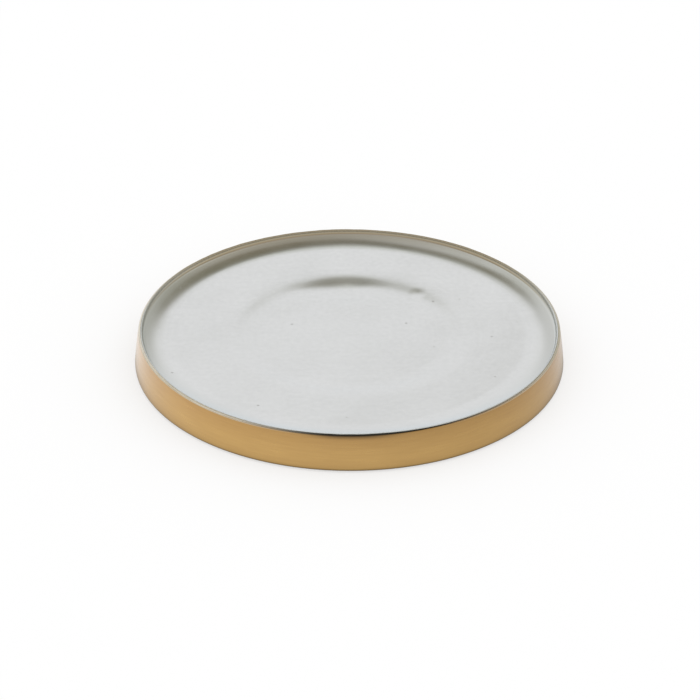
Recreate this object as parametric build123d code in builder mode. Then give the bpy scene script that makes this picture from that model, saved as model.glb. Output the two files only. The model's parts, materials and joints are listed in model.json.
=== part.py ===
"""Round candle plate: a spun dish wedged in a tapered brass skirt that is closed from below."""

import os
from math import atan, hypot, pi, tan

from build123d import *

# Driving dimensions, in millimetres

overall_height = 10.8  # table to the top of the lip

foot_diameter = 120.2  # outside of the skirt, its wall carried down to the foot
rim_diameter = 117.4  # outside of the skirt, its wall carried up to the top of the lip
skirt_sheet = 0.5
foot_bend = 0.8  # outside radius between wall and flange
foot_flange = 6.0  # width of the turned-in flange
skirt_edge_round = 0.2  # outer top edge

dish_sheet = 0.5
dish_depth = 2.6  # lip down to the floor
rise_width = 5.5  # from the lip's inside in to where the floor starts to rise
rise_height = 1.58  # gained over that width
rise_bend = 26.0  # between floor and rise
cove_radius = 0.9  # inside, between rise and lip
lip_proud = 0.35  # lip above the top edge of the skirt
lip_round = 0.2  # both edges of the lip

seat_diameter = 56.6  # candle seat, out to the foot of its step
seat_depth = 0.5  # seat below the floor
seat_slope = 5.6  # width of the cone that steps up from seat to floor
seat_bend = 45.0  # between seat and step
floor_bend = 45.0  # between step and floor

solder_width = 0.3  # bead in the corner between lip and skirt
solder_height = 0.28
base_thickness = 0.8
felt_thickness = 0.8

# Clearances

rim_seam = 0.06  # lip to skirt
solder_gap = 0.01  # bead to lip
base_clearance = 0.3  # base plate to the inner bend of the skirt
core_clearance = 0.5  # core to the curved parts of the dish
felt_clearance = 0.5  # felt to the edge of the flange

# Heights above the table

foot_z = felt_thickness - skirt_sheet
base_z = felt_thickness
core_z = base_z + base_thickness
floor_z = overall_height - dish_depth
floor_under_z = floor_z - dish_sheet
seat_z = floor_z - seat_depth
seat_under_z = seat_z - dish_sheet
skirt_top_z = overall_height - lip_proud

# The wall leans in from foot to rim, so the corner that it makes with anything flat is under a right angle

wall_run = (foot_diameter - rim_diameter) / 2
wall_rise = overall_height - foot_z
wall_lean = wall_run / wall_rise
corner_angle = pi / 2 - atan(wall_lean)
half_corner = tan(corner_angle / 2)


def wall_radius(z):
    """Outside radius of the skirt's wall at height z."""
    return foot_diameter / 2 - wall_lean * (z - foot_z)


def skirt_inner(z):
    return wall_radius(z) - skirt_sheet


def lip_outer(z):
    return skirt_inner(z) - rim_seam


def lip_inner(z):
    return lip_outer(z) - dish_sheet


def fillet_reach(radius):
    """How far a fillet in that corner runs along each of its sides."""
    return radius / half_corner


def corner(sketch, point):
    """The sketch's vertex at that point."""
    return sketch.vertices().sort_by_distance(point)[0]


# Skirt: one bent sheet, from the flange's edge round the foot and up the wall

flange_edge = foot_diameter / 2 - foot_flange
foot_corner = (foot_diameter / 2, foot_z)
top_corner = (wall_radius(skirt_top_z), skirt_top_z)
bend_corner = (skirt_inner(base_z), base_z)
inner_bend = max(foot_bend - skirt_sheet, 0.1 * skirt_sheet)

with BuildPart() as skirt:
    with BuildSketch(Plane.XZ) as skirt_section:
        with BuildLine():
            Polyline(
                (flange_edge, foot_z),
                foot_corner,
                top_corner,
                (skirt_inner(skirt_top_z), skirt_top_z),
                bend_corner,
                (flange_edge, base_z),
                close=True,
            )
        make_face()
        fillet(corner(skirt_section, foot_corner), inner_bend + skirt_sheet)
        fillet(corner(skirt_section, bend_corner), inner_bend)
        fillet(corner(skirt_section, top_corner), min(skirt_edge_round, 0.8 * skirt_sheet))
    revolve(axis=Axis.Z)

# Dish: seat, soft step, floor, its rise, cove and lip, then back along the underside one sheet lower

seat_edge = seat_diameter / 2
step_edge = seat_edge + seat_slope
half_step = tan(atan(seat_depth / seat_slope) / 2)
step_bends = [min(bend, 0.4 * seat_slope / half_step) for bend in (seat_bend, floor_bend)]
step_corners = [(seat_edge, seat_z), (step_edge, floor_z)]
step_under_corners = [(seat_edge, seat_under_z), (step_edge, floor_under_z)]
rise_edge = lip_inner(floor_z) - rise_width
rise_slope = rise_height / rise_width


def rise_to(lip_radius, z):
    """Where the rise that starts at height z meets a lip that has that radius there."""
    radius = (lip_radius + wall_lean * rise_slope * rise_edge) / (1 + wall_lean * rise_slope)
    return (radius, z + (radius - rise_edge) * rise_slope)


cove_corner = rise_to(lip_inner(floor_z), floor_z)
cove_under_corner = rise_to(lip_outer(floor_under_z), floor_under_z)
half_rise = tan(atan(rise_slope) / 2)
half_cove = tan((pi / 2 + atan(wall_lean) - atan(rise_slope)) / 2)
lip_corners = [(lip_inner(overall_height), overall_height), (lip_outer(overall_height), overall_height)]
lip_edge_round = min(lip_round, 0.9 * dish_sheet / (half_corner + 1 / half_corner))
cove = min(cove_radius, 0.9 * (overall_height - cove_corner[1] - lip_edge_round) / half_cove)
rise_run = hypot(cove_corner[0] - rise_edge, cove_corner[1] - floor_z)
rise_turn = min(rise_bend, 0.95 * (rise_run / half_rise - (cove + dish_sheet) * half_cove / half_rise))

with BuildPart() as dish:
    with BuildSketch(Plane.XZ) as dish_section:
        with BuildLine():
            Polyline(
                (0, seat_z),
                *step_corners,
                (rise_edge, floor_z),
                cove_corner,
                *lip_corners,
                cove_under_corner,
                (rise_edge, floor_under_z),
                *reversed(step_under_corners),
                (0, seat_under_z),
                close=True,
            )
        make_face()
        for corners in (step_corners, step_under_corners):
            for point, bend in zip(corners, step_bends):
                fillet(corner(dish_section, point), bend)
        for z in (floor_z, floor_under_z):
            fillet(corner(dish_section, (rise_edge, z)), rise_turn)
        fillet(corner(dish_section, cove_corner), cove)
        fillet(corner(dish_section, cove_under_corner), cove + dish_sheet)
        fillet([corner(dish_section, point) for point in lip_corners], lip_edge_round)
    revolve(axis=Axis.Z)

# Solder bead: a flat-faced fillet that lies on the skirt's top edge against the lip

bead_root = lip_outer(skirt_top_z) + solder_gap
bead_top_z = skirt_top_z + solder_height

with BuildPart() as rim_solder:
    with BuildSketch(Plane.XZ):
        with BuildLine():
            Polyline(
                (bead_root, skirt_top_z),
                (bead_root + solder_width, skirt_top_z),
                (lip_outer(bead_top_z) + solder_gap, bead_top_z),
                close=True,
            )
        make_face()
    revolve(axis=Axis.Z)

# Core: a board disc under the floor, with a recess that takes the seat

floor_flat = rise_edge - rise_turn * half_rise
core_radius = min(floor_flat, skirt_inner(core_z)) - core_clearance
recess_radius = step_edge + step_bends[1] * half_step + core_clearance

with BuildPart() as core:
    with BuildSketch(Plane.XY.offset(core_z)):
        Circle(core_radius)
    extrude(amount=floor_under_z - core_z)
    with BuildSketch(Plane.XY.offset(seat_under_z)):
        Circle(recess_radius)
    extrude(amount=seat_depth, mode=Mode.SUBTRACT)

# Base plate: a disc that lies on the skirt's flange and fits inside its bend

base_room = min(skirt_inner(base_z), skirt_inner(core_z))
base_radius = base_room - fillet_reach(inner_bend) - base_clearance

with BuildPart() as base_plate:
    with BuildSketch(Plane.XY.offset(base_z)):
        Circle(base_radius)
    extrude(amount=base_thickness)

# Felt pad: a disc under the base plate, inside the flange and proud of the foot

with BuildPart() as felt_pad:
    with BuildSketch(Plane.XY):
        Circle(flange_edge - felt_clearance)
    extrude(amount=felt_thickness)

os.makedirs("parts", exist_ok=True)
pieces = {
    "skirt": skirt,
    "dish": dish,
    "rim_solder": rim_solder,
    "core": core,
    "base_plate": base_plate,
    "felt_pad": felt_pad,
}
for name, piece in pieces.items():
    piece.part.label = name
    export_step(piece.part, f"parts/{name}.step")
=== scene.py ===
"""Looks of a round candle plate: a polished aluminium dish in a satin brass band, felted below."""

import json
import math
from functools import partial

import bmesh
import bpy
from bpy.props import FloatProperty, FloatVectorProperty, IntProperty, PointerProperty
from mathutils import Matrix, Vector


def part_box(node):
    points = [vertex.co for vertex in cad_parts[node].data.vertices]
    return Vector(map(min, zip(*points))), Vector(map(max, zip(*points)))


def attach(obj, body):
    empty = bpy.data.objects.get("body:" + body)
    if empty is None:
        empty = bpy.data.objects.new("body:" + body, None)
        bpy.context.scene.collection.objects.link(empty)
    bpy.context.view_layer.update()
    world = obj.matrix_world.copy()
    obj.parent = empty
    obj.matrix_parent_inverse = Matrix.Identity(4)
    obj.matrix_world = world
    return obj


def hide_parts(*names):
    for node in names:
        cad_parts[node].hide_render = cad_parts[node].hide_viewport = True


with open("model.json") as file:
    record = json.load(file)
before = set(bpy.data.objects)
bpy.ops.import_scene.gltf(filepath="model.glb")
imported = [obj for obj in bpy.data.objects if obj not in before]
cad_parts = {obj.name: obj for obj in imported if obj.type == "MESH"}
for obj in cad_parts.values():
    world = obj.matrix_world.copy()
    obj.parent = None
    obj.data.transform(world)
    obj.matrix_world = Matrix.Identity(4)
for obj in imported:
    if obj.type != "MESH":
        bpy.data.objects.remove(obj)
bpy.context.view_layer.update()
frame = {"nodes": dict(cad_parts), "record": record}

bl_info = {
    "name": "Candle plate",
    "version": (1, 0, 0),
    "blender": (4, 5, 0),
    "location": "View3D > Sidebar > Candle plate",
    "description": "Builds the visible pieces of a two-tone metal candle plate and its stage",
    "category": "Object",
}

MM = 0.001
SEED = 7

# Sides of the tent that the metal mirrors: tones by bearing in degrees, from straight behind the plate to the right
TENT_AROUND = (
    (-180, (0.86, 0.85, 0.82)),
    (-120, (0.9, 0.89, 0.86)),
    (-90, (0.95, 0.94, 0.9)),
    (-62, (0.8, 0.79, 0.72)),
    (-46, (0.72, 0.71, 0.65)),
    (-36, (0.92, 0.92, 0.9)),
    (-17, (0.94, 0.94, 0.93)),
    (-12, (0.79, 0.79, 0.78)),
    (-9, (0.78, 0.78, 0.77)),
    (-6.2, (1.0, 1.0, 1.0)),
    (6.8, (1.0, 1.0, 1.0)),
    (9.8, (0.62, 0.62, 0.58)),
    (12.5, (0.55, 0.55, 0.51)),
    (17, (0.63, 0.63, 0.58)),
    (30, (0.58, 0.575, 0.525)),
    (45, (0.54, 0.51, 0.43)),
    (60, (0.72, 0.7, 0.63)),
    (80, (0.93, 0.92, 0.88)),
    (110, (0.92, 0.91, 0.87)),
    (180, (0.86, 0.85, 0.82)),
)
# Tints of the sides by rise in degrees: a little bluer at the foot, fading towards the top
TENT_RISE = (
    (0, (0.89, 0.965, 1.05)),
    (8, (0.93, 0.98, 1.03)),
    (18, (0.975, 0.98, 0.985)),
    (26, (1.0, 1.0, 1.0)),
    (33, (1.0, 1.0, 1.0)),
    (35.5, (0.94, 0.943, 0.925)),
    (38, (0.86, 0.865, 0.82)),
    (41, (0.8, 0.805, 0.75)),
)
# Rises in degrees between which the sides turn into the top
TENT_TOP = (38, 50)
# Tones of the top by angle in degrees over the plate, from the horizon behind it
TENT_OVER = (
    (48, (0.72, 0.71, 0.66)),
    (54, (0.575, 0.555, 0.495)),
    (60, (0.49, 0.45, 0.37)),
    (66, (0.43, 0.38, 0.29)),
    (74, (0.52, 0.49, 0.44)),
    (84, (0.63, 0.61, 0.58)),
    (160, (0.66, 0.64, 0.61)),
)
# Tints of the top by the sine of the angle to the right
TENT_LEAN = (
    (-0.7, (1.2, 1.2, 1.2)),
    (-0.45, (1.0, 1.0, 1.0)),
    (-0.3, (1.14, 1.15, 1.18)),
    (-0.2, (1.18, 1.2, 1.25)),
    (0.0, (1.02, 1.02, 1.02)),
    (0.2, (1.0, 0.97, 0.92)),
    (0.35, (1.1, 1.09, 1.07)),
)

# A dark arch over the lit sheet behind, all in degrees: angle to the right, the arch's lower and upper edge as angles
# over the plate, its strength from 0 to 1, and how far its lower edge fades each way
ARCH = (
    (-11.2, 37, 42, 0.0, 3),
    (-10, 37, 43.5, 0.75, 3),
    (-9, 36.5, 45, 1.0, 3),
    (-8, 36.3, 45.5, 1.0, 3),
    (-6, 36.8, 48, 1.0, 3.5),
    (-4, 39, 50, 1.0, 5),
    (-3, 39.3, 51.5, 1.0, 5),
    (-2.2, 38.3, 53, 1.0, 5),
    (-1.6, 38, 54, 1.0, 5),
    (-1, 39.3, 55, 1.0, 5),
    (-0.5, 42, 55.5, 1.0, 4.5),
    (0, 45.8, 56, 1.0, 4),
    (0.5, 45.3, 56, 1.0, 4),
    (0.9, 43.5, 56, 1.0, 4.5),
    (1.3, 40.5, 56.5, 1.0, 5),
    (1.8, 37.5, 56.5, 1.0, 5),
    (2.4, 36.5, 56.5, 1.0, 4.5),
    (3.2, 35.6, 56, 1.0, 4),
    (4.2, 35, 56, 1.0, 4),
    (6, 32.5, 54, 1.0, 3),
    (8, 32, 52, 1.0, 3),
    (10, 33.5, 48, 0.85, 3),
    (12.5, 35, 46, 0.0, 3),
)
ARCH_TOP_FADE = 3  # degrees each way
ARCH_REACH = 50  # degrees to each side that the arch's ramps span
ARCH_UNIT = 100  # degrees that 1.0 on its ramp stands for
# The arch's tones by angle over the plate, and its tints by angle to the right
ARCH_TONES = ((40, (0.26, 0.262, 0.215)), (50, (0.23, 0.207, 0.158)))
ARCH_TINTS = (
    (-5, (0.97, 0.91, 0.81)),
    (-1.5, (1.0, 1.0, 1.0)),
    (1.5, (1.0, 1.0, 1.0)),
    (3.5, (0.93, 0.865, 0.74)),
)
TENT_RADIUS = 6.0  # metres

# Painted tones of the paper that the metal mirrors: a painted shadow by distance from the plate's axis in millimetres,
# and painted light at its two sides
PAPER_OUT = ((59.5, 0.2), (60.5, 0.5), (62.5, 0.88), (66, 1.0), (76, 1.06), (90, 1.0), (120, 0.92), (200, 0.85))
PAPER_REACH = 200  # millimetres that its ramp spans
PAPER_SIDE = 70  # millimetres from the axis to either side
PAPER_LEFT, PAPER_RIGHT = 1.12, 0.82
# Share of the paper that the eye sees as plain white, while the rest takes the plate's shadow
PAPER_WHITE = 0.62
PAPER_HALF_WIDTH = 3.0  # metres

# Angles from the front to the left and to the right between which the rim's painted highlight turns to its painted
# dark shade along the front
SOLDER_FRONT_SHADE = ((-36, -4), (70, 18))
BRASS_FRONT_SHADOW = ((-18, -2), (22, 3))

# Size of the bead by angle from the front to the right
BEAD_SIZES = (
    (-180, 1.0),
    (-60, 1.1),
    (-32, 1.05),
    (-18, 0.7),
    (-8, 0.9),
    (0, 1.0),
    (10, 0.85),
    (21, 0.55),
    (32, 0.38),
    (55, 0.3),
    (75, 0.9),
)

# Dents round the seat, in millimetres and in degrees from the back to the right. The last is a low swell
DENT_SIZES = ("depth", "radius", "width", "bearing", "arc")
DISH_DENTS = (
    (0.335, 25.3, 10, -1.5, 31),
    (0.095, 30.6, 3.4, 39.3, 6),
    (-0.17, 26, 9, -44, 22),
)

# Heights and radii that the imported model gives
SKIRT_LOW, SKIRT_HIGH = (corner.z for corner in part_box("skirt"))
DISH_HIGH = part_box("dish")[1].z
FELT_LOW, FELT_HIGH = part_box("felt_pad")
SEAT_Z = next(m["pos_m"][2] for m in frame["record"]["mounts"] if m["name"] == "candle_seat")


def linear(code):
    """An sRGB hex colour as linear red, green, blue and full alpha."""
    values = [int(code[i : i + 2], 16) / 255 for i in (1, 3, 5)]
    return [v / 12.92 if v <= 0.04045 else ((v + 0.055) / 1.055) ** 2.4 for v in values] + [1.0]


def darkened(shade, share):
    """That share of a linear colour, with full alpha."""
    return [share * value for value in shade[:3]] + [1.0]


def length(name, description, millimetres):
    """A length property, with its default in millimetres."""
    return FloatProperty(
        name=name, description=description, default=millimetres * MM, min=0.0, unit="LENGTH", precision=5
    )


def angle(name, description, degrees):
    """An angle property, with its default in degrees."""
    return FloatProperty(name=name, description=description, default=math.radians(degrees), subtype="ANGLE")


def colour(name, description, code):
    """A colour property, with its default as sRGB hex."""
    return FloatVectorProperty(
        name=name, description=description, default=linear(code), size=4, min=0.0, max=1.0, subtype="COLOR"
    )


class CandlePlateSizes(bpy.types.PropertyGroup):
    """Sizes of the pieces, as in the solids apart from the lip's edges, the band's crown and the bead."""

    foot_diameter: length("Foot diameter", "Outside of the band, its wall carried down to the foot", 120.2)
    rim_diameter: length("Rim diameter", "Outside of the band, its wall carried up to the rim", 117.4)
    skirt_sheet: length("Band sheet", "Thickness of the brass sheet", 0.5)
    foot_bend: length("Foot bend", "Outside radius where the band turns in under the plate", 0.8)
    foot_flange: length("Foot flange", "Width of the turned-in flange", 6.0)
    skirt_edge: length("Band edge", "Rounding of the band's outer top edge", 0.2)
    skirt_crown: length("Band crown", "How far spinning leaves the wall swelled between its edges", 0.08)
    rim_seam: length("Rim seam", "Room between the band and the dish's lip", 0.06)
    dish_sheet: length("Dish sheet", "Thickness of the aluminium sheet", 0.5)
    dish_depth: length("Dish depth", "From the lip down to the floor", 2.6)
    rise_width: length("Rise width", "From the lip in to where the floor starts to rise", 5.5)
    rise_height: length("Rise height", "How far the floor rises over that width", 1.58)
    rise_bend: length("Rise bend", "Radius between the floor and its rise", 26.0)
    cove_radius: length("Cove", "Inside radius between the rise and the lip", 0.9)
    lip_round: length("Lip rounding", "Rounding of the lip's inner edge, softer than in the solids", 0.3)
    lip_edge: length("Lip edge", "Rounding of the lip's outer edge, crisper than in the solids", 0.09)
    seat_diameter: length("Seat diameter", "Candle seat in the middle, out to the foot of its step", 56.6)
    seat_slope: length("Seat slope", "Width of the cone that steps up from seat to floor", 5.6)
    seat_bend: length("Seat bend", "Radius between the seat and its step", 45.0)
    floor_bend: length("Floor bend", "Radius between the step and the floor", 45.0)
    bead_width: length("Bead width", "How far the solder lies over the band's edge", 0.42)
    bead_height: length("Bead height", "How far the solder climbs the lip", 0.3)
    steps_round: IntProperty(name="Steps round", description="Faces round each turned piece", default=480, min=64)


class CandlePlateColours(bpy.types.PropertyGroup):
    """Base colours of the finishes."""

    brass: colour("Brass", "Satin brass of the band", "#C09A5A")
    # Dulled brass, also the painted shade towards the band's upper edge
    brass_dull_and_shaded: colour("Brass, dulled", "Where the brass has dulled", "#B28A4F")
    # Painted shadow along the band's top edge under the rim at the front
    brass_shadow_brown: colour("Brass, browned", "Along the stained solder", "#5C4526")
    aluminium: colour("Aluminium", "Polished aluminium of the dish", "#DBDCDC")
    aluminium_dull: colour("Aluminium, handled", "Where the polish has dulled", "#D2D3D3")
    # Painted shade in the cove near the lip
    aluminium_cove_shade: colour("Aluminium, cove", "Where the polishing wheel does not reach", "#D3D4D2")
    # The lip's darker, browner tint towards the back
    aluminium_lip: colour("Aluminium, lip", "Lip at the back, tinted by lacquer from the band", "#AEA28C")
    pit: colour("Pits", "Dirt in the small pits", "#908F8A")
    # Painted dark reflection along the front of the rim
    solder: colour("Solder", "Stained solder along the front of the rim", "#45443F")
    # Painted highlight on the solder and on the band's top edge, away from the front
    tin: colour("Tin", "Bright solder along the rest of the rim", "#E2DACB")
    felt: colour("Felt", "Pressed wool under the plate", "#2C2C2F")
    felt_light: colour("Felt fibre", "Lighter wool fibres", "#4A4A4D")
    steel: colour("Steel", "Zinc-coated base plate", "#9A9DA0")
    board: colour("Board", "Pressed wood fibre of the core", "#7B5B3B")
    floor: colour("Floor", "Plain pale floor", "#FFFFFF")


class CandlePlateView(bpy.types.PropertyGroup):
    """Where the camera stands, as the plate's outline in the picture gives it."""

    distance: length("Distance", "From the camera to the middle of the rim", 703.0)
    elevation: angle("Elevation", "Height of the camera above the horizon", 29.28)
    yaw: angle("Yaw", "Aim to the right of the middle of the rim", 0.0163)
    pitch: angle("Pitch", "Aim above the middle of the rim", -0.585)
    roll: angle("Roll", "Turn of the camera about its own axis", 0.209)
    lens: FloatProperty(name="Lens", description="Focal length on a 36 mm frame", default=129.62, min=1.0)


# Kinds of node, and settings of nodes, that many finishes and trees use
MATH = "ShaderNodeMath"
VECTOR = "ShaderNodeVectorMath"
RANGE = "ShaderNodeMapRange"
MIX = "ShaderNodeMix"
RAMP = "ShaderNodeValToRGB"
NOISE = "ShaderNodeTexNoise"
SPLIT = "ShaderNodeSeparateXYZ"
JOIN = "ShaderNodeCombineXYZ"
SMOOTH = {"interpolation_type": "SMOOTHSTEP"}
RGBA = {"data_type": "RGBA"}


def add_node(tree, kind, links=None, stops=None, **settings):
    """Adds a node with its settings, fills or links its inputs by name or number, and gives its first live output."""
    node = tree.nodes.new(kind)
    for name, value in settings.items():
        setattr(node, name, value)
    for key, value in (links or {}).items():
        if isinstance(value, bpy.types.NodeSocket):
            tree.links.new(value, node.inputs[key])
        else:
            node.inputs[key].default_value = value
    if stops:
        elements = node.color_ramp.elements
        while len(elements) < len(stops):
            elements.new(0.5)
        for element, (position, shade) in zip(elements, stops):
            element.position, element.color = position, shade
    return next((socket for socket in node.outputs if socket.enabled), None)


# Finishes


def new_finish(name):
    """An empty material, what adds nodes to it, and the place on the piece."""
    material = bpy.data.materials.new(name)
    material.use_nodes = True
    material.node_tree.nodes.clear()
    add = partial(add_node, material.node_tree)
    return material, add, add("ShaderNodeTexCoord").node.outputs["Object"]


def close_finish(add, sockets):
    """Ends a finish with a shader that has those sockets set or linked."""
    add("ShaderNodeOutputMaterial", {"Surface": add("ShaderNodeBsdfPrincipled", sockets)})


def from_above(add, place):
    """The place as it is seen from above, and its distance from the plate's axis."""
    flat = add(VECTOR, {0: place, 1: (1, 1, 0)}, operation="MULTIPLY")
    return flat, add(VECTOR, {0: flat}, operation="LENGTH")


def front_angle(add, place):
    """The angle from the front of the plate, which is -Y, to the right."""
    axes = add(SPLIT, {0: place}).node.outputs
    front = add(MATH, {0: axes["Y"], 1: -1.0}, operation="MULTIPLY")
    return add(MATH, {0: axes["X"], 1: front}, operation="ARCTAN2")


def front_shade_mask(add, place, spread):
    """Where the rim is painted dark along its front, as painted shade."""
    along = front_angle(add, place)
    ends = [
        add(RANGE, {"Value": along, "From Min": math.radians(clean), "From Max": math.radians(front_shaded)}, **SMOOTH)
        for clean, front_shaded in spread
    ]
    return add(MATH, dict(enumerate(ends)), operation="MULTIPLY")


def polished_aluminium(colours):
    """Aluminium sheet, spun and polished: a soft mirror with hairline turning marks, wiping marks and a few pits."""
    material, add, place = new_finish("aluminium_spun_polished")
    back = add(SPLIT, {0: place}).node.outputs["Y"]
    flat, radius = from_above(add, place)

    # Haze from handling, in patches of about 14 mm
    haze = add(NOISE, {"Vector": place, "Scale": 1 / (14 * MM), "Detail": 3.0})
    # Wiping marks, about 20 mm long and 1.5 mm apart
    wiped = add(
        "ShaderNodeMapping",
        {"Vector": flat, "Rotation": (0, 0, math.radians(-14)), "Scale": (1 / (20 * MM), 1 / (1.5 * MM), 1)},
    )
    wipes = add(NOISE, {"Vector": wiped, "Scale": 1.0, "Detail": 4.0})
    # Grain of the rolled sheet is finer than 0.1 mm, drawn at 1.5 mm to show at all
    grain = add(NOISE, {"Vector": flat, "Scale": 1 / (1.5 * MM), "Detail": 2.0})
    rolled = add(MATH, {0: grain, 1: 0.5}, operation="SUBTRACT")
    worn = add(MIX, {0: 0.4, 2: haze, 3: wipes})
    worn = add(MATH, {0: worn, 1: rolled}, operation="ADD")
    # Turning marks of a spinning tool are about 0.1 mm apart, drawn at 0.7 mm to show at all
    rings = add(NOISE, {"W": radius, "Scale": 1 / (0.7 * MM), "Detail": 1.0}, noise_dimensions="1D")

    # Pits lie in cells of 8 mm, of which about one in five has a pit, under 1 mm across
    cells = add(
        "ShaderNodeTexVoronoi",
        {"Vector": flat, "Scale": 1 / (8 * MM), "Randomness": 1.0},
        voronoi_dimensions="2D",
    ).node.outputs
    pick = add("ShaderNodeSeparateColor", {0: cells["Color"]})
    size = add(RANGE, {"Value": pick, "From Min": 0.8, "From Max": 1.0, "To Max": 0.065})
    sunk = add(MATH, {0: size, 1: cells["Distance"]}, operation="SUBTRACT")
    pits = add(RANGE, {"Value": sunk, "From Max": 0.06, "To Max": 0.6})

    # The polishing wheel does not reach into the cove, so the sheet stays duller near the lip, and there it is painted
    # darker as shade in the cove
    ragged = add(MATH, {0: haze, 1: 2 * MM, 2: radius}, operation="MULTIPLY_ADD")
    cove = add(RANGE, {"Value": ragged, "From Min": 51.5 * MM, "From Max": 57 * MM}, **SMOOTH)
    # The trimmed lip is only deburred, so it is a little duller still
    lip = add(RANGE, {"Value": radius, "From Min": 56.9 * MM, "From Max": 57.5 * MM})
    # The foot of a candle has rubbed the step round the seat, 33 mm from the axis, at the back
    away = add(MATH, {0: radius, 1: 33 * MM}, operation="SUBTRACT")
    away = add(MATH, {0: away}, operation="ABSOLUTE")
    step = add(RANGE, {"Value": away, "From Min": 8 * MM, "From Max": 1 * MM}, **SMOOTH)
    behind = add(RANGE, {"Value": back, "From Min": 15 * MM, "From Max": 25 * MM})
    rubbed = add(MATH, {0: step, 1: behind}, operation="MULTIPLY")
    # At the back the lip is tinted darker and browner towards its outer edge
    spread = add(RANGE, {"Value": back, "From Max": 45 * MM}, **SMOOTH)
    edge = add(RANGE, {"Value": radius, "From Min": 57.1 * MM, "From Max": 57.35 * MM})
    tinted = add(MATH, {0: spread, 1: edge}, operation="MULTIPLY")

    shade = colours.aluminium
    for mask, other in (
        (worn, colours.aluminium_dull),
        # Painted shade near the lip
        (cove, colours.aluminium_cove_shade),
        (tinted, colours.aluminium_lip),
        (pits, colours.pit),
    ):
        shade = add(MIX, {0: mask, 6: shade, 7: other}, **RGBA)
    rough = add(RANGE, {"Value": haze, "From Min": 0.3, "From Max": 0.7, "To Min": 0.09, "To Max": 0.13})
    for mask, more in ((rings, 0.04), (cove, 0.06), (lip, 0.04), (rubbed, 0.06), (pits, 0.3)):
        rough = add(MATH, {0: mask, 1: more, 2: rough}, operation="MULTIPLY_ADD")
    close_finish(add, {"Metallic": 1.0, "Base Color": shade, "Roughness": rough})
    return material


def satin_brass(colours):
    """Brass sheet, spun, satin brushed and lacquered: a warm soft sheen that pales where it is seen aslant."""
    material, add, place = new_finish("brass_satin_lacquered")
    height = add(SPLIT, {0: place}).node.outputs["Z"]
    # Brushing lines are about 0.05 mm apart and run round the band, drawn at 0.4 mm to show at all
    stretched = add("ShaderNodeMapping", {"Vector": place, "Scale": (1 / (9 * MM), 1 / (9 * MM), 1 / (0.4 * MM))})
    lines = add(NOISE, {"Vector": stretched, "Scale": 1.0, "Detail": 2.0})
    # Dulled patches of about 12 mm, and a painted shade that darkens the band towards its upper edge
    patches = add(NOISE, {"Vector": place, "Scale": 1 / (12 * MM), "Detail": 6.0, "Roughness": 0.6})
    upper_painted_shade = add(RANGE, {"Value": height, "From Min": 5 * MM, "From Max": SKIRT_HIGH, "To Max": 0.7})
    dulled = add(MATH, {0: patches, 1: 0.6, 2: upper_painted_shade}, operation="MULTIPLY_ADD")
    scored = add(MATH, {0: lines, 1: 0.6, 2: -0.3}, operation="MULTIPLY_ADD")
    dulled = add(MATH, {0: dulled, 1: scored}, operation="ADD")
    # The duller brass colour serves both the random patches and the painted shade towards the top
    wall = add(MIX, {0: dulled, 6: colours.brass, 7: colours.brass_dull_and_shaded}, **RGBA)
    # The top edge is painted pale as a highlight away from the front, and painted brown along the front as shadow
    # under the rim
    pale_edge_highlight = add(
        RANGE,
        {"Value": height, "From Min": SKIRT_HIGH - 0.25 * MM, "From Max": SKIRT_HIGH - 0.05 * MM, "To Max": 0.85},
    )
    front_shaded = front_shade_mask(add, place, SOLDER_FRONT_SHADE)
    brown = front_shade_mask(add, place, BRASS_FRONT_SHADOW)
    # The top edge's painted highlight, turned to painted shadow along the front
    edge = add(MIX, {0: front_shaded, 6: colours.tin, 7: wall}, **RGBA)
    edge = add(MIX, {0: brown, 6: edge, 7: colours.brass_shadow_brown}, **RGBA)
    # At the very front the painted shadow reaches about 1 mm down the band
    shadow_below_rim = add(
        RANGE,
        {"Value": height, "From Min": SKIRT_HIGH - 1.15 * MM, "From Max": SKIRT_HIGH - 0.2 * MM, "To Max": 0.75},
    )
    for _ in range(2):
        shadow_below_rim = add(MATH, {0: shadow_below_rim, 1: brown}, operation="MULTIPLY")
    wall = add(MIX, {0: shadow_below_rim, 6: wall, 7: colours.brass_shadow_brown}, **RGBA)
    close_finish(
        add,
        {
            "Metallic": 1.0,
            "Coat Weight": 0.7,
            "Coat Roughness": 0.15,
            "Base Color": add(MIX, {0: pale_edge_highlight, 6: wall, 7: edge}, **RGBA),
            "Roughness": add(
                RANGE, {"Value": lines, "From Min": 0.3, "From Max": 0.7, "To Min": 0.27, "To Max": 0.36}
            ),
            "Normal": add("ShaderNodeBump", {"Height": lines, "Strength": 0.25, "Distance": 0.01 * MM}),
        },
    )
    return material


def solder_with_painted_light(colours):
    """Tin solder, run along a seam: painted bright as a highlight away from the front, and painted nearly black along
    the front as a dark reflection.
    """
    material, add, place = new_finish("solder_tin_front_shaded")
    # Grain of cooled solder, in lumps of about 1.2 mm
    grain = add(NOISE, {"Vector": place, "Scale": 1 / (1.2 * MM), "Detail": 3.0})
    dark = add(MIX, {0: grain, 6: colours.solder, 7: darkened(colours.solder, 0.6)}, **RGBA)
    # Painted dark reflection along the front, painted highlight elsewhere
    front_shaded = front_shade_mask(add, place, SOLDER_FRONT_SHADE)
    wiped = add(RANGE, {"Value": grain, "To Min": 0.15, "To Max": 0.3})
    close_finish(
        add,
        {
            "Metallic": 1.0,
            "Base Color": add(MIX, {0: front_shaded, 6: colours.tin, 7: dark}, **RGBA),
            "Roughness": add(MATH, {0: front_shaded, 1: 0.35, 2: wiped}, operation="MULTIPLY_ADD"),
            "Normal": add("ShaderNodeBump", {"Height": grain, "Strength": 0.4, "Distance": 0.1 * MM}),
        },
    )
    return material


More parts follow.
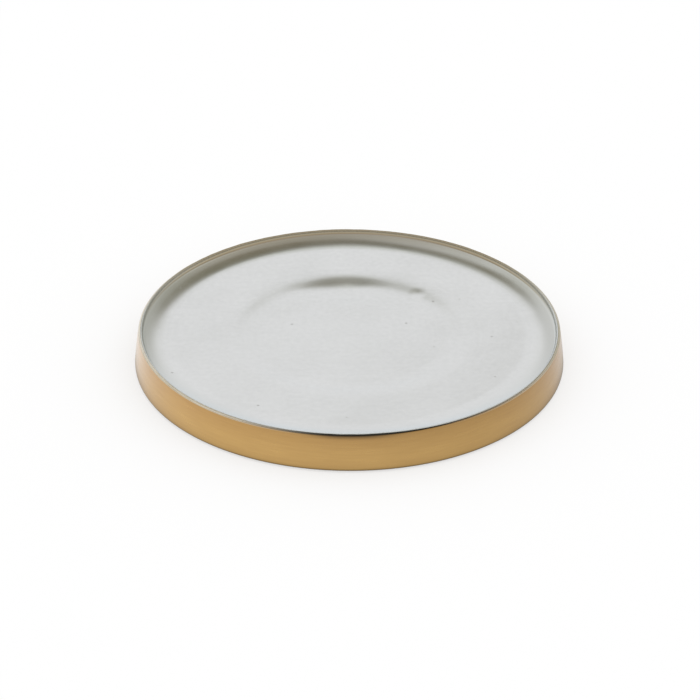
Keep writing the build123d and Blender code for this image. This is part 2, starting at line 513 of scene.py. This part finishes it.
def wool_felt(colours):
    """Pressed wool felt: matt charcoal, a mat of lighter fibres and a soft edge of sheen."""
    material, add, place = new_finish("felt_pressed_wool")
    # Wool fibres are about 0.03 mm thick, drawn as a mat of 0.5 mm tufts
    mat = add(NOISE, {"Vector": place, "Scale": 1 / (0.5 * MM), "Detail": 4.0, "Roughness": 0.7, "Distortion": 1.5})
    tufts = add(RANGE, {"Value": mat, "From Min": 0.35, "From Max": 0.75})
    close_finish(
        add,
        {
            "Base Color": add(MIX, {0: tufts, 6: colours.felt, 7: colours.felt_light}, **RGBA),
            "Roughness": 0.95,
            "Sheen Weight": 0.4,
            "Sheen Roughness": 0.6,
            "Normal": add("ShaderNodeBump", {"Height": mat, "Strength": 0.6, "Distance": 0.15 * MM}),
        },
    )
    return material


def zinc_steel(colours):
    """Steel sheet, zinc coated: pale grey with the frosted crystals that zinc leaves."""
    material, add, place = new_finish("steel_zinc_coated")
    # Zinc crystals are about 5 mm across
    crystals = add("ShaderNodeTexVoronoi", {"Vector": place, "Scale": 1 / (5 * MM)}, voronoi_dimensions="2D")
    tone = add("ShaderNodeSeparateColor", {0: crystals.node.outputs["Color"]})
    close_finish(
        add,
        {
            "Metallic": 1.0,
            "Base Color": add(MIX, {0: tone, 6: colours.steel, 7: darkened(colours.steel, 0.75)}, **RGBA),
            "Roughness": add(RANGE, {"Value": tone, "To Min": 0.35, "To Max": 0.55}),
        },
    )
    return material


def hardboard(colours):
    """Hardboard, wood fibre pressed hot: matt brown with short darker fibres."""
    material, add, place = new_finish("hardboard_pressed")
    # Fibres about 2 mm long
    fibres = add(NOISE, {"Vector": place, "Scale": 1 / (2 * MM), "Detail": 5.0, "Roughness": 0.7, "Distortion": 2.0})
    shade = add(MIX, {0: fibres, 6: colours.board, 7: darkened(colours.board, 0.5)}, **RGBA)
    close_finish(add, {"Base Color": shade, "Roughness": 0.8})
    return material


def pale_floor(colours):
    """Matt white paper: white to the eye and shaded by the plate, and in reflections painted with shade at the right
    and the foot.
    """
    material, add, place = new_finish("paper_white_matt")
    path = add("ShaderNodeLightPath").node.outputs
    eye = add(MATH, {0: path["Is Camera Ray"], 1: path["Is Transmission Ray"]}, operation="MAXIMUM")
    share = add(MATH, {0: eye, 1: PAPER_WHITE}, operation="MULTIPLY")
    paper = add("ShaderNodeBsdfDiffuse", {"Color": colours.floor})
    glow = add("ShaderNodeEmission", {"Color": (1, 1, 1, 1), "Strength": 1.0})
    lit = add("ShaderNodeMixShader", {0: share, 1: paper, 2: glow})
    # What the metal mirrors is painted: a painted shadow along the line of contact, the paper round the plate, and
    # painted dimmer light at the right
    _, radius = from_above(add, place)
    far = add(MATH, {0: radius, 1: PAPER_REACH * MM}, operation="DIVIDE")
    tone = add(RAMP, {"Fac": far}, stops=[(out / PAPER_REACH, (grey, grey, grey, 1.0)) for out, grey in PAPER_OUT])
    dim = add(
        RANGE,
        {
            "Value": add(SPLIT, {0: place}).node.outputs["X"],
            "From Min": -PAPER_SIDE * MM,
            "From Max": PAPER_SIDE * MM,
            "To Min": PAPER_LEFT,
            "To Max": PAPER_RIGHT,
        },
    )
    mirrored = add("ShaderNodeEmission", {"Color": tone, "Strength": dim})
    lit = add("ShaderNodeMixShader", {0: path["Is Glossy Ray"], 1: lit, 2: mirrored})
    # From below the floor is clear, so that the felt can be looked at
    under = add("ShaderNodeNewGeometry").node.outputs["Backfacing"]
    clear = add("ShaderNodeBsdfTransparent")
    both = add("ShaderNodeMixShader", {0: under, 1: lit, 2: clear})
    add("ShaderNodeOutputMaterial", {"Surface": both})
    material.cycles.emission_sampling = "NONE"
    return material


def studio_tent():
    """The inside of a tent that only reflections show: a lit sheet under a dark arch, pale sides and a dimmer top."""
    material, add, place = new_finish("tent_cloth")
    way = add(VECTOR, {0: place}, operation="NORMALIZE")
    axes = add(SPLIT, {0: way}).node.outputs
    # Bearing as a share of a turn: 0.5 behind the plate, 0.75 at its right, 0 and 1 at the camera
    bearing = add(MATH, {0: axes["X"], 1: axes["Y"]}, operation="ARCTAN2")
    turned = add(MATH, {0: bearing, 1: 1 / (2 * math.pi), 2: 0.5}, operation="MULTIPLY_ADD")
    # Angle over the plate as a share of half a turn: 0 at the horizon behind it, 0.5 overhead, 1 behind the camera
    over = add(MATH, {0: axes["Z"], 1: axes["Y"]}, operation="ARCTAN2")
    over = add(MATH, {0: over, 1: math.pi}, operation="DIVIDE")
    rise = add(MATH, {0: axes["Z"]}, operation="ARCSINE")
    height = add(MATH, {0: rise, 1: math.pi / 2}, operation="DIVIDE")
    lean = add(RANGE, {"Value": axes["X"], "From Min": -1.0, "From Max": 1.0})
    # Angle to the right, from one end of the arch's ramps to the other
    side = add(MATH, {0: axes["X"]}, operation="ARCSINE")
    side = add(RANGE, {"Value": side, "From Min": math.radians(-ARCH_REACH), "From Max": math.radians(ARCH_REACH)})
    # Each part of the cloth has its tones on one ramp and its tints on another
    around, above, dark = (
        add(
            VECTOR,
            {
                k: add(RAMP, {"Fac": value}, stops=[(zero + at / span, (*shade, 1.0)) for at, shade in table])
                for k, (value, zero, span, table) in enumerate(ramps)
            },
            operation="MULTIPLY",
        )
        for ramps in (
            ((turned, 0.5, 360, TENT_AROUND), (height, 0, 90, TENT_RISE)),
            ((over, 0, 180, TENT_OVER), (lean, 0.5, 2, TENT_LEAN)),
            ((over, 0, 180, ARCH_TONES), (side, 0.5, 2 * ARCH_REACH, ARCH_TINTS)),
        )
    )
    high = add(
        RANGE,
        {"Value": rise, "From Min": math.radians(TENT_TOP[0]), "From Max": math.radians(TENT_TOP[1])},
        **SMOOTH,
    )
    cloth = add(MIX, {0: high, 6: around, 7: above}, **RGBA)
    # The arch's edges, its strength and its fade are read off one ramp, as its red, green, blue and alpha
    shape = add(
        RAMP,
        {"Fac": side},
        stops=[
            (0.5 + at / (2 * ARCH_REACH), (low / ARCH_UNIT, top / ARCH_UNIT, strength, fade / ARCH_UNIT))
            for at, low, top, strength, fade in ARCH
        ],
    ).node.outputs
    low, top, strength = add("ShaderNodeSeparateColor", {0: shape["Color"]}).node.outputs
    outside = add(MATH, {0: shape["Alpha"], 1: -1.0}, operation="MULTIPLY")
    level = add(MATH, {0: over, 1: 180 / ARCH_UNIT}, operation="MULTIPLY")
    up = add(MATH, {0: level, 1: low}, operation="SUBTRACT")
    down = add(MATH, {0: top, 1: level}, operation="SUBTRACT")
    arch = strength
    for inwards, clear, full in (
        (up, outside, shape["Alpha"]),
        (down, -ARCH_TOP_FADE / ARCH_UNIT, ARCH_TOP_FADE / ARCH_UNIT),
    ):
        inside = add(RANGE, {"Value": inwards, "From Min": clear, "From Max": full}, **SMOOTH)
        arch = add(MATH, {0: inside, 1: arch}, operation="MULTIPLY")
    seen = add(MIX, {0: arch, 6: cloth, 7: dark}, **RGBA)
    glow = add("ShaderNodeEmission", {"Color": seen, "Strength": 1.0})
    add("ShaderNodeOutputMaterial", {"Surface": glow})
    material.cycles.emission_sampling = "NONE"
    return material


# Sections


def rounded(corners, steps, closed=False):
    """Points along a section whose corners, given as (radius, height, rounding), are rounded off."""
    points = []
    count = len(corners)
    for i, (r, z, rounding) in enumerate(corners):
        here = Vector((r, z))
        if not rounding or (not closed and i in (0, count - 1)):
            points.append(here)
            continue
        before = (Vector(corners[i - 1][:2]) - here).normalized()
        after = (Vector(corners[(i + 1) % count][:2]) - here).normalized()
        half = before.angle(after) / 2
        centre = here + (before + after).normalized() * (rounding / math.sin(half))
        start = here + before * (rounding / math.tan(half)) - centre
        end = here + after * (rounding / math.tan(half)) - centre
        first = math.atan2(start.y, start.x)
        sweep = (math.atan2(end.y, end.x) - first + math.pi) % (2 * math.pi) - math.pi
        for k in range(steps + 1):
            a = first + sweep * k / steps
            points.append(centre + rounding * Vector((math.cos(a), math.sin(a))))
    return points


def divided(points, longest, closed=False):
    """The same points with long straight runs cut into shorter ones."""
    ends = points + points[:1] if closed else points
    cut = []
    for a, b in zip(ends, ends[1:]):
        cut.append(a)
        pieces = max(1, math.ceil((b - a).length / longest))
        cut.extend(a.lerp(b, k / pieces) for k in range(1, pieces))
    return cut if closed else cut + ends[-1:]


def drawing(name, points, closed):
    """An object whose mesh is the line through those points."""
    count = len(points)
    edges = [(i, (i + 1) % count) for i in range(count if closed else count - 1)]
    mesh = bpy.data.meshes.new(f"{name}_section")
    mesh.from_pydata(points, edges, [])
    return bpy.data.objects.new(name, mesh)


def wall_lean(sizes):
    """How far the band's wall leans in for each unit of height."""
    return (sizes.foot_diameter - sizes.rim_diameter) / 2 / (DISH_HIGH - SKIRT_LOW)


def wall_radius(sizes, z):
    """Outside radius of the band's wall at height z."""
    return sizes.foot_diameter / 2 - wall_lean(sizes) * (z - SKIRT_LOW)


def lip_outer(sizes, z):
    """Outside radius of the dish's lip at height z."""
    return wall_radius(sizes, z) - sizes.skirt_sheet - sizes.rim_seam


# Trees


def new_tree(name, result, inputs):
    """An empty tree with its sockets, what adds nodes to it, and what it is given."""
    tree = bpy.data.node_groups.new(name, "GeometryNodeTree")
    tree.interface.new_socket(result, in_out="OUTPUT", socket_type="NodeSocketGeometry")
    for title, kind in inputs.items():
        tree.interface.new_socket(title, in_out="INPUT", socket_type=f"NodeSocket{kind}")
    add = partial(add_node, tree)
    return tree, add, add("NodeGroupInput").node.outputs


def close_tree(add, result, geometry, finish):
    """Ends a tree with plain meshes that all have one finish."""
    real = add("GeometryNodeRealizeInstances", {"Geometry": geometry})
    add("NodeGroupOutput", {result: add("GeometryNodeSetMaterial", {"Geometry": real, "Material": finish})})


def ring_path(add, steps, radius):
    """A circle round Z that carries a section upright."""
    circle = add("GeometryNodeCurvePrimitiveCircle", {"Resolution": steps, "Radius": radius})
    return add("GeometryNodeSetCurveNormal", {"Curve": circle}, mode="Z_UP")


def dent_inputs(dents):
    """Names and values of the lathe's inputs for those dents."""
    return {f"Dent {k} {size}": value for k, dent in enumerate(dents, 1) for size, value in zip(DENT_SIZES, dent)}


# What the lathe does to a sheet unless a piece says otherwise: nothing
PLAIN_WORK = {
    "Wander depth": 0.0,
    "Wander length": 30 * MM,
    "Chatter depth": 0.0,
    "Chatter length": 3 * MM,
    "Chatter from": 0.0,
    "Chatter to": 1 * MM,
    **dent_inputs([(0.0, 0.0, 1.0, 0.0, 1.0)] * len(DISH_DENTS)),
    "Seed": float(SEED),
}


def lathe_tree():
    """A tree that turns a section round Z and lets wander, chatter and dents sink into the sheet."""
    tree, add, given = new_tree(
        "lathe",
        "Piece",
        {
            "Section": "Geometry",
            "Path radius": "Float",
            "Steps round": "Int",
            **dict.fromkeys(PLAIN_WORK, "Float"),
            "Finish": "Material",
        },
    )
    place = add("GeometryNodeInputPosition")
    # The section is drawn in its real place, and is moved to the path that carries it round
    drawn = add(SPLIT, {0: place}).node.outputs
    out = add(MATH, {0: drawn["X"], 1: given["Path radius"]}, operation="SUBTRACT")
    down = add(MATH, {0: drawn["Z"], 1: -1.0}, operation="MULTIPLY")
    spot = add(JOIN, {"X": out, "Y": down})
    moved = add("GeometryNodeSetPosition", {"Geometry": given["Section"], "Position": spot})
    profile = add("GeometryNodeMeshToCurve", {"Mesh": moved})
    path = ring_path(add, given["Steps round"], given["Path radius"])
    turned = add("GeometryNodeCurveToMesh", {"Curve": path, "Profile Curve": profile})
    merged = add("GeometryNodeMergeByDistance", {"Geometry": turned, "Distance": 0.0005 * MM})

    # Wander is broad and covers the whole sheet, chatter is short and keeps to a ring
    wander, chatter = (
        add(
            NOISE,
            {
                "Vector": place,
                "W": given["Seed"],
                "Scale": add(MATH, {0: 1.0, 1: given[f"{mark} length"]}, operation="DIVIDE"),
                "Detail": 1.0,
            },
            noise_dimensions="4D",
        )
        for mark in ("Wander", "Chatter")
    )
    _, radius = from_above(add, place)
    ring = add(RANGE, {"Value": radius, "From Min": given["Chatter from"], "From Max": given["Chatter to"]}, **SMOOTH)
    ringed = add(MATH, {0: chatter, 1: ring}, operation="MULTIPLY")
    depth = add(MATH, {0: ringed, 1: given["Chatter depth"]}, operation="MULTIPLY")
    depth = add(MATH, {0: wander, 1: given["Wander depth"], 2: depth}, operation="MULTIPLY_ADD")

    # Dents lie along arcs of the upper side, at bearings from the back of the plate, which is +Y
    bearing = add(MATH, {0: drawn["X"], 1: drawn["Y"]}, operation="ARCTAN2")
    normal = add("GeometryNodeInputNormal")
    facing = add(SPLIT, {0: normal}).node.outputs["Z"]
    upper = add(MATH, {0: facing, 1: 0.0}, operation="GREATER_THAN")
    for k in range(1, len(DISH_DENTS) + 1):
        size = {name: given[f"Dent {k} {name}"] for name in DENT_SIZES}
        off = {}
        for axis, value, middle, reach in (("X", bearing, "bearing", "arc"), ("Y", radius, "radius", "width")):
            off[axis] = add(MATH, {0: value, 1: size[middle]}, operation="SUBTRACT")
            off[axis] = add(MATH, {0: off[axis], 1: size[reach]}, operation="DIVIDE")
        far = add(VECTOR, {0: add(JOIN, off)}, operation="LENGTH")
        dent = add(RANGE, {"Value": far, "From Min": 1.0, "From Max": 0.0}, **SMOOTH)
        dent = add(MATH, {0: dent, 1: upper}, operation="MULTIPLY")
        depth = add(MATH, {0: dent, 1: size["depth"], 2: depth}, operation="MULTIPLY_ADD")
    sunk = add(MATH, {0: depth, 1: -1.0}, operation="MULTIPLY")
    offset = add(VECTOR, {0: normal, "Scale": sunk}, operation="SCALE")
    worked = add("GeometryNodeSetPosition", {"Geometry": merged, "Offset": offset})
    smooth = add("GeometryNodeSetShadeSmooth", {"Geometry": worked})
    close_tree(add, "Piece", smooth, given["Finish"])
    return tree


def bead_tree():
    """A tree that runs a lumpy bead round the rim, full at the left and the back and thinner at the right."""
    tree, add, given = new_tree(
        "bead",
        "Bead",
        {
            "Section": "Geometry",
            "Seam radius": "Float",
            "Seam height": "Float",
            "Steps round": "Int",
            "Lump length": "Float",
            "Seed": "Float",
            "Finish": "Material",
        },
    )
    place = add("GeometryNodeInputPosition")
    along = front_angle(add, place)
    turned = add(MATH, {0: along, 1: 1 / (2 * math.pi), 2: 0.5}, operation="MULTIPLY_ADD")
    size = add(
        RAMP,
        {"Fac": turned},
        stops=[(0.5 + degrees / 360, (full, full, full, 1.0)) for degrees, full in BEAD_SIZES],
    )
    scale = add(MATH, {0: 1.0, 1: given["Lump length"]}, operation="DIVIDE")
    noise = add(NOISE, {"Vector": place, "W": given["Seed"], "Scale": scale, "Detail": 2.0}, noise_dimensions="4D")
    lumps = add(RANGE, {"Value": noise, "From Min": 0.3, "From Max": 0.62, "To Min": 0.6})
    swell = add(MATH, {0: size, 1: lumps}, operation="MULTIPLY")
    path = ring_path(add, given["Steps round"], given["Seam radius"])
    profile = add("GeometryNodeMeshToCurve", {"Mesh": given["Section"]})
    run = add("GeometryNodeCurveToMesh", {"Curve": path, "Profile Curve": profile, "Scale": swell})
    lift = add(JOIN, {"Z": given["Seam height"]})
    raised = add("GeometryNodeSetPosition", {"Geometry": run, "Offset": lift})
    smooth = add("GeometryNodeSetShadeSmooth", {"Geometry": raised})
    close_tree(add, "Bead", smooth, given["Finish"])
    return tree


def fibre_tree():
    """A tree that lays short bowed fibres over a felt disc."""
    tree, add, given = new_tree(
        "fibres",
        "Fibres",
        {
            "Felt": "Geometry",
            "Per square metre": "Float",
            "Fibre length": "Float",
            "Fibre radius": "Float",
            "Seed": "Int",
            "Finish": "Material",
        },
    )
    spots = add(
        "GeometryNodeDistributePointsOnFaces",
        {"Mesh": given["Felt"], "Density": given["Per square metre"], "Seed": given["Seed"]},
    )
    # Ends of a fibre and its bow, as shares of its length
    ends = {
        name: add(JOIN, {axis: add(MATH, {0: given["Fibre length"], 1: share}, operation="MULTIPLY")})
        for name, axis, share in (("Start", "X", -0.5), ("Middle", "Y", 0.3), ("End", "X", 0.5))
    }
    line = add("GeometryNodeCurveQuadraticBezier", {"Resolution": 4, **ends})
    hair = add("GeometryNodeCurvePrimitiveCircle", {"Resolution": 3, "Radius": given["Fibre radius"]})
    strand = add("GeometryNodeCurveToMesh", {"Curve": line, "Profile Curve": hair, "Fill Caps": True})
    way = add(
        "FunctionNodeRandomValue",
        {0: (0.0, 0.0, 0.0), 1: (0.0, 0.0, 2 * math.pi), "Seed": given["Seed"]},
        data_type="FLOAT_VECTOR",
    )
    turned = add("FunctionNodeEulerToRotation", {"Euler": way})
    laid = add("GeometryNodeInstanceOnPoints", {"Points": spots, "Instance": strand, "Rotation": turned})
    close_tree(add, "Fibres", laid, given["Finish"])
    return tree


def made_plain(context, piece, tree, inputs):
    """Runs the tree on the piece and keeps its result as a plain mesh."""
    modifier = piece.modifiers.new(tree.name, "NODES")
    modifier.node_group = tree
    for item in tree.interface.items_tree:
        if item.in_out == "INPUT" and item.name in inputs:
            modifier[item.identifier] = inputs[item.name]
    context.scene.collection.objects.link(piece)
    graph = context.evaluated_depsgraph_get()
    mesh = bpy.data.meshes.new_from_object(piece.evaluated_get(graph))
    piece.modifiers.clear()
    drawn = piece.data
    piece.data = mesh
    bpy.data.meshes.remove(drawn)
    mesh.name = piece.name
    if not mesh.polygons:
        raise RuntimeError(f"{piece.name}: the tree made no faces")
    return piece


def face_out(piece):
    """Turns the faces of a closed piece outwards."""
    work = bmesh.new()
    work.from_mesh(piece.data)
    bmesh.ops.recalc_face_normals(work, faces=work.faces)
    if work.calc_volume(signed=True) < 0:
        bmesh.ops.reverse_faces(work, faces=work.faces)
    work.to_mesh(piece.data)
    work.free()


def turn(context, name, points, finish, path_radius, steps, closed=False, work=None):
    """One turned piece as a plain mesh, from a section of (radius, height) points."""
    piece = made_plain(
        context,
        drawing(name, [(point.x, 0.0, point.y) for point in points], closed),
        bpy.data.node_groups.get("lathe") or lathe_tree(),
        {**PLAIN_WORK, "Path radius": path_radius, "Steps round": steps, "Finish": finish, **(work or {})},
    )
    face_out(piece)
    return piece


def keep(piece, node):
    """The piece rides with the plate and stands for its solid, which is hidden."""
    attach(piece, "root")
    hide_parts(node)


# Pieces


class CANDLEPLATE_OT_skirt(bpy.types.Operator):
    """Turns the tapered brass band with its flange"""

    bl_idname = "candle_plate.skirt"
    bl_label = "Brass band"

    def execute(self, context):
        sizes = context.scene.candle_plate_sizes
        low, high, sheet = SKIRT_LOW, SKIRT_HIGH, sizes.skirt_sheet
        flange = sizes.foot_diameter / 2 - sizes.foot_flange
        deburred, trimmed = 0.08 * MM, 0.04 * MM
        corners = [
            (flange, low + sheet, deburred),
            (wall_radius(sizes, low + sheet) - sheet, low + sheet, sizes.foot_bend - sheet),
            (wall_radius(sizes, high) - sheet, high, trimmed),
            (wall_radius(sizes, high), high, sizes.skirt_edge),
            (sizes.foot_diameter / 2, low, sizes.foot_bend),
            (flange, low, deburred),
        ]
        points = divided(rounded(corners, steps=6, closed=True), longest=0.7 * MM, closed=True)
        # The outside of the wall swells a little between the bend and the rim
        for point in points:
            up = (point.y - low - sizes.foot_bend) / (high - low - sizes.foot_bend)
            if up > 0 and point.x > wall_radius(sizes, point.y) - 0.1 * sheet:
                point.x += 4 * sizes.skirt_crown * up * (1 - up)
        piece = turn(
            context,
            "skirt_band",
            points,
            satin_brass(context.scene.candle_plate_colours),
            path_radius=flange,
            steps=sizes.steps_round,
            closed=True,
            work={"Wander depth": 0.02 * MM, "Wander length": 14 * MM},
        )
        keep(piece, "skirt")
        return {"FINISHED"}


class CANDLEPLATE_OT_dish(bpy.types.Operator):
    """Turns the spun dish with its candle seat, cove and lip"""

    bl_idname = "candle_plate.dish"
    bl_label = "Polished dish"

    def execute(self, context):
        sizes = context.scene.candle_plate_sizes
        sheet = sizes.dish_sheet
        floor = DISH_HIGH - sizes.dish_depth
        inner, outer = sizes.seat_diameter / 2, sizes.seat_diameter / 2 + sizes.seat_slope
        rise = lip_outer(sizes, floor) - sheet - sizes.rise_width
        slope = sizes.rise_height / sizes.rise_width
        lean = wall_lean(sizes)

        def foot_of_lip(radius, z):
            """Where the rise from (rise, z) meets a lip that has that radius at z."""
            r = (radius + lean * slope * rise) / (1 + lean * slope)
            return r, z + (r - rise) * slope

        # The upper side ends and the underside starts on top of the lip
        rim = lip_outer(sizes, DISH_HIGH)
        middle = (rim - sheet / 4, DISH_HIGH, 0.0)
        upper = [
            (0.0, SEAT_Z, 0.0),
            (inner, SEAT_Z, sizes.seat_bend),
            (outer, floor, sizes.floor_bend),
            (rise, floor, sizes.rise_bend),
            (*foot_of_lip(lip_outer(sizes, floor) - sheet, floor), sizes.cove_radius),
            (rim - sheet, DISH_HIGH, sizes.lip_round),
            middle,
        ]
        under = [
            middle,
            (rim, DISH_HIGH, sizes.lip_edge),
            (*foot_of_lip(lip_outer(sizes, floor - sheet), floor - sheet), sizes.cove_radius + sheet),
            (rise, floor - sheet, sizes.rise_bend),
            (outer, floor - sheet, sizes.floor_bend),
            (inner, SEAT_Z - sheet, sizes.seat_bend),
            (0.0, SEAT_Z - sheet, 0.0),
        ]
        points = divided(rounded(upper, steps=12), longest=0.8 * MM)
        points += divided(rounded(under, steps=6), longest=3 * MM)[1:]
        dents = [
            (depth * MM, radius * MM, width * MM, math.radians(bearing), math.radians(arc))
            for depth, radius, width, bearing, arc in DISH_DENTS
        ]
        piece = turn(
            context,
            "dish_spun",
            points,
            polished_aluminium(context.scene.candle_plate_colours),
            path_radius=inner,
            steps=sizes.steps_round,
            work={
                "Wander depth": 0.04 * MM,
                "Wander length": 32 * MM,
                "Chatter depth": 0.012 * MM,
                "Chatter length": 3.5 * MM,
                "Chatter from": 54.5 * MM,
                "Chatter to": 56.5 * MM,
                **dent_inputs(dents),
            },
        )
        keep(piece, "dish")
        return {"FINISHED"}


class CANDLEPLATE_OT_solder(bpy.types.Operator):
    """Runs the uneven solder bead along the seam between band and lip"""

    bl_idname = "candle_plate.solder"
    bl_label = "Rim solder"

    def execute(self, context):
        sizes = context.scene.candle_plate_sizes
        # The section swells outwards from the corner that it fills, drawn flat with height downwards
        points = [(0.0, 0.0, 0.0)]
        steps = 8
        for k in range(steps + 1):
            a = math.pi / 2 * k / steps
            up = sizes.bead_height * math.sin(a)
            points.append((sizes.bead_width * math.cos(a) - up * wall_lean(sizes), -up, 0.0))
        clear_of_lip = 0.01 * MM
        piece = made_plain(
            context,
            drawing("rim_solder_bead", points, closed=True),
            bead_tree(),
            {
                "Seam radius": lip_outer(sizes, SKIRT_HIGH) + clear_of_lip,
                "Seam height": SKIRT_HIGH,
                "Steps round": sizes.steps_round,
                "Lump length": 5 * MM,
                "Seed": float(SEED),
                "Finish": solder_with_painted_light(context.scene.candle_plate_colours),
            },
        )
        face_out(piece)
        keep(piece, "rim_solder")
        return {"FINISHED"}


class CANDLEPLATE_OT_felt(bpy.types.Operator):
    """Cuts the felt pad and lays its loose fibres"""

    bl_idname = "candle_plate.felt"
    bl_label = "Felt pad"

    def execute(self, context):
        radius, low, high = FELT_HIGH.x, FELT_LOW.z, FELT_HIGH.z
        finish = wool_felt(context.scene.candle_plate_colours)
        glued_edge, worn_edge = 0.1 * MM, 0.25 * MM
        corners = [
            (0.0, high, 0.0),
            (radius, high, glued_edge),
            (radius, low, worn_edge),
            (0.0, low, 0.0),
        ]
        pad = turn(
            context,
            "felt_pad_wool",
            divided(rounded(corners, steps=5), longest=3 * MM),
            finish,
            path_radius=radius / 2,
            steps=192,
            work={
                "Wander depth": 0.03 * MM,
                "Wander length": 6 * MM,
                "Chatter depth": 0.12 * MM,
                "Chatter length": 1.4 * MM,
                "Chatter from": radius - 0.4 * MM,
                "Chatter to": radius - 0.1 * MM,
            },
        )
        keep(pad, "felt_pad")
        fibres = bpy.data.objects.new("felt_fibres", pad.data.copy())
        made_plain(
            context,
            fibres,
            fibre_tree(),
            {
                "Per square metre": 0.2e6,
                "Fibre length": 1.8 * MM,
                "Fibre radius": 0.025 * MM,
                "Seed": SEED,
                "Finish": finish,
            },
        )
        for vertex in fibres.data.vertices:
            vertex.co.z = min(max(vertex.co.z, low), high)
        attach(fibres, "root")
        return {"FINISHED"}


class CANDLEPLATE_OT_hidden(bpy.types.Operator):
    """Gives the core and the base plate, which keep their solids, their finishes"""

    bl_idname = "candle_plate.hidden"
    bl_label = "Core and base plate"

    def execute(self, context):
        colours = context.scene.candle_plate_colours
        for node, finish in (("core", hardboard(colours)), ("base_plate", zinc_steel(colours))):
            slots = frame["nodes"][node].data.materials
            slots.clear()
            slots.append(finish)
        return {"FINISHED"}


# Stage


def floor_mesh():
    """A wide square just under the felt."""
    mesh = bpy.data.meshes.new("floor")
    reach, drop = PAPER_HALF_WIDTH, -0.05 * MM
    corners = [(-reach, -reach, drop), (reach, -reach, drop), (reach, reach, drop), (-reach, reach, drop)]
    mesh.from_pydata(corners, [], [(0, 1, 2, 3)])
    return mesh


def tent_mesh(rings=24, sides=96):
    """Half a ball over the plate."""
    points, faces = [], []
    for i in range(rings):
        rise = math.pi / 2 * i / rings
        out, up = TENT_RADIUS * math.cos(rise), TENT_RADIUS * math.sin(rise)
        for k in range(sides):
            a = 2 * math.pi * k / sides
            points.append((out * math.cos(a), out * math.sin(a), up))
            if i:
                j = (k + 1) % sides
                faces.append(((i - 1) * sides + k, (i - 1) * sides + j, i * sides + j, i * sides + k))
    last = (rings - 1) * sides
    faces.extend((last + k, last + (k + 1) % sides, rings * sides) for k in range(sides))
    points.append((0.0, 0.0, TENT_RADIUS))
    mesh = bpy.data.meshes.new("tent")
    mesh.from_pydata(points, [], faces)
    return mesh


def new_camera(view):
    """A camera that stands at the front and looks a little past the middle of the rim."""
    back = Vector((0.0, -math.cos(view.elevation), math.sin(view.elevation)))
    right = Vector((1.0, 0.0, 0.0))
    up = back.cross(right)
    look = (-back + math.tan(view.yaw) * right + math.tan(view.pitch) * up).normalized()
    side = look.cross(up).normalized()
    axes = Matrix((side, side.cross(look), -look)).transposed().to_4x4()
    place = Matrix.Translation(Vector((0.0, 0.0, DISH_HIGH)) + back * view.distance)
    data = bpy.data.cameras.new("camera")
    data.lens, data.sensor_width, data.sensor_fit = view.lens, 36.0, "HORIZONTAL"
    data.clip_start, data.clip_end = 0.01, 20.0
    camera = bpy.data.objects.new("camera", data)
    camera.matrix_world = place @ axes @ Matrix.Rotation(view.roll, 4, "Z")
    return camera


class CANDLEPLATE_OT_stage(bpy.types.Operator):
    """Sets the floor, the light, the mirrored tent and the camera"""

    bl_idname = "candle_plate.stage"
    bl_label = "Stage"

    def execute(self, context):
        scene = context.scene
        scene.view_settings.view_transform = "Standard"

        world = bpy.data.worlds.new("white_tent")
        world.use_nodes = True
        world.node_tree.nodes.clear()
        sky = add_node(world.node_tree, "ShaderNodeBackground", {"Color": (1, 1, 1, 1), "Strength": 1.0})
        add_node(world.node_tree, "ShaderNodeOutputWorld", {"Surface": sky})
        scene.world = world

        floor = bpy.data.objects.new("floor", floor_mesh())
        floor.data.materials.append(pale_floor(scene.candle_plate_colours))
        # Only reflections show the tent
        tent = bpy.data.objects.new("tent", tent_mesh())
        tent.data.materials.append(studio_tent())
        tent.visible_camera = tent.visible_diffuse = tent.visible_shadow = tent.visible_transmission = False
        camera = new_camera(scene.candle_plate_view)
        for thing in (floor, tent, camera):
            scene.collection.objects.link(thing)
        scene.camera = camera
        return {"FINISHED"}


class CANDLEPLATE_PT_pieces(bpy.types.Panel):
    """Lists the pieces of the plate, its sizes and its colours"""

    bl_idname = "CANDLEPLATE_PT_pieces"
    bl_label = "Candle plate"
    bl_space_type = "VIEW_3D"
    bl_region_type = "UI"
    bl_category = "Candle plate"

    def draw(self, context):
        layout = self.layout
        for operator in OPERATORS:
            layout.operator(operator.bl_idname)
        for title in GROUPS:
            group = getattr(context.scene, title)
            box = layout.box()
            for name in group.__annotations__:
                box.prop(group, name)


OPERATORS = (
    CANDLEPLATE_OT_stage,
    CANDLEPLATE_OT_skirt,
    CANDLEPLATE_OT_dish,
    CANDLEPLATE_OT_solder,
    CANDLEPLATE_OT_hidden,
    CANDLEPLATE_OT_felt,
)
GROUPS = {
    "candle_plate_sizes": CandlePlateSizes,
    "candle_plate_colours": CandlePlateColours,
    "candle_plate_view": CandlePlateView,
}
CLASSES = (*GROUPS.values(), *OPERATORS, CANDLEPLATE_PT_pieces)


def register():
    for kind in CLASSES:
        bpy.utils.register_class(kind)
    for title, group in GROUPS.items():
        setattr(bpy.types.Scene, title, PointerProperty(type=group))


def unregister():
    for title in GROUPS:
        delattr(bpy.types.Scene, title)
    for kind in reversed(CLASSES):
        bpy.utils.unregister_class(kind)


def main():
    register()
    bpy.ops.candle_plate.stage()
    bpy.ops.candle_plate.skirt()
    bpy.ops.candle_plate.dish()
    bpy.ops.candle_plate.solder()
    bpy.ops.candle_plate.hidden()
    bpy.ops.candle_plate.felt()


if __name__ == "__main__":
    main()
